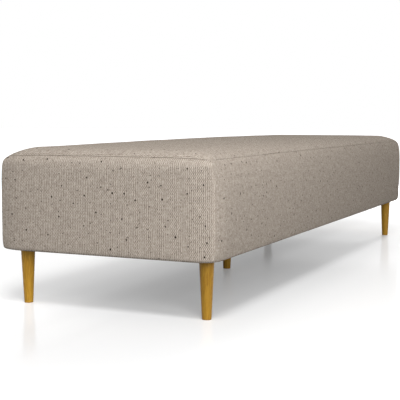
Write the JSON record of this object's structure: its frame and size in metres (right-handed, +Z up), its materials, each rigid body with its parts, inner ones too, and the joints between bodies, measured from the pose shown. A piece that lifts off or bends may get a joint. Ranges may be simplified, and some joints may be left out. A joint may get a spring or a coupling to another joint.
{
  "type": "upholstered bench",
  "caption": "Long upholstered bench: a padded box seat in flecked taupe woven fabric with soft rolled edges, on round tapered wooden legs.",
  "frame": {"origin": "on the floor under the middle of the bench", "axes": "+X along the length towards the far end in the picture, -Y towards the long side that the picture shows, +Z up"},
  "size_m": [2, 0.624, 0.435],
  "materials": {
    "cover_fabric": "matte",
    "leg_wood": "satin",
    "pine": "matte",
    "plywood": "matte",
    "fibreboard": "matte",
    "foam": "matte",
    "webbing": "matte",
    "deck_cloth": "matte",
    "dust_cloth": "matte",
    "steel": "satin",
    "zinc": "satin"
  },
  "bodies": {
    "root": {"front_left_leg": "leg_wood", "front_right_leg": "leg_wood", "back_left_leg": "leg_wood", "back_right_leg": "leg_wood", "centre_leg": "leg_wood", "leg_bolts": "steel", "threaded_inserts": "zinc", "front_bottom_rail": "pine", "back_bottom_rail": "pine", "left_bottom_rail": "pine", "right_bottom_rail": "pine", "left_cross_rail": "pine", "centre_cross_rail": "pine", "inner_right_cross_rail": "pine", "outer_right_cross_rail": "pine", "centre_leg_block": "plywood", "corner_gussets": "plywood", "front_left_post": "pine", "front_right_post": "pine", "back_left_post": "pine", "back_right_post": "pine", "front_mid_posts": "pine", "back_mid_posts": "pine", "front_top_rail": "pine", "back_top_rail": "pine", "left_top_rail": "pine", "right_top_rail": "pine", "left_stretcher": "pine", "centre_stretcher": "pine", "inner_right_stretcher": "pine", "outer_right_stretcher": "pine", "corner_blocks": "pine", "post_screws": "steel", "rail_screws": "steel", "block_screws": "steel", "front_board": "fibreboard", "back_board": "fibreboard", "left_board": "fibreboard", "right_board": "fibreboard", "webbing_across": "webbing", "webbing_along": "webbing", "webbing_staples": "steel", "deck_cloth": "deck_cloth", "seat_foam_base": "foam", "seat_foam_top": "foam", "front_foam": "foam", "back_foam": "foam", "left_foam": "foam", "right_foam": "foam", "cover_top": "cover_fabric", "cover_front": "cover_fabric", "cover_back": "cover_fabric", "cover_left": "cover_fabric", "cover_right": "cover_fabric", "dust_cover": "dust_cloth", "dust_cover_staples": "steel"}
  },
  "joints": []
}
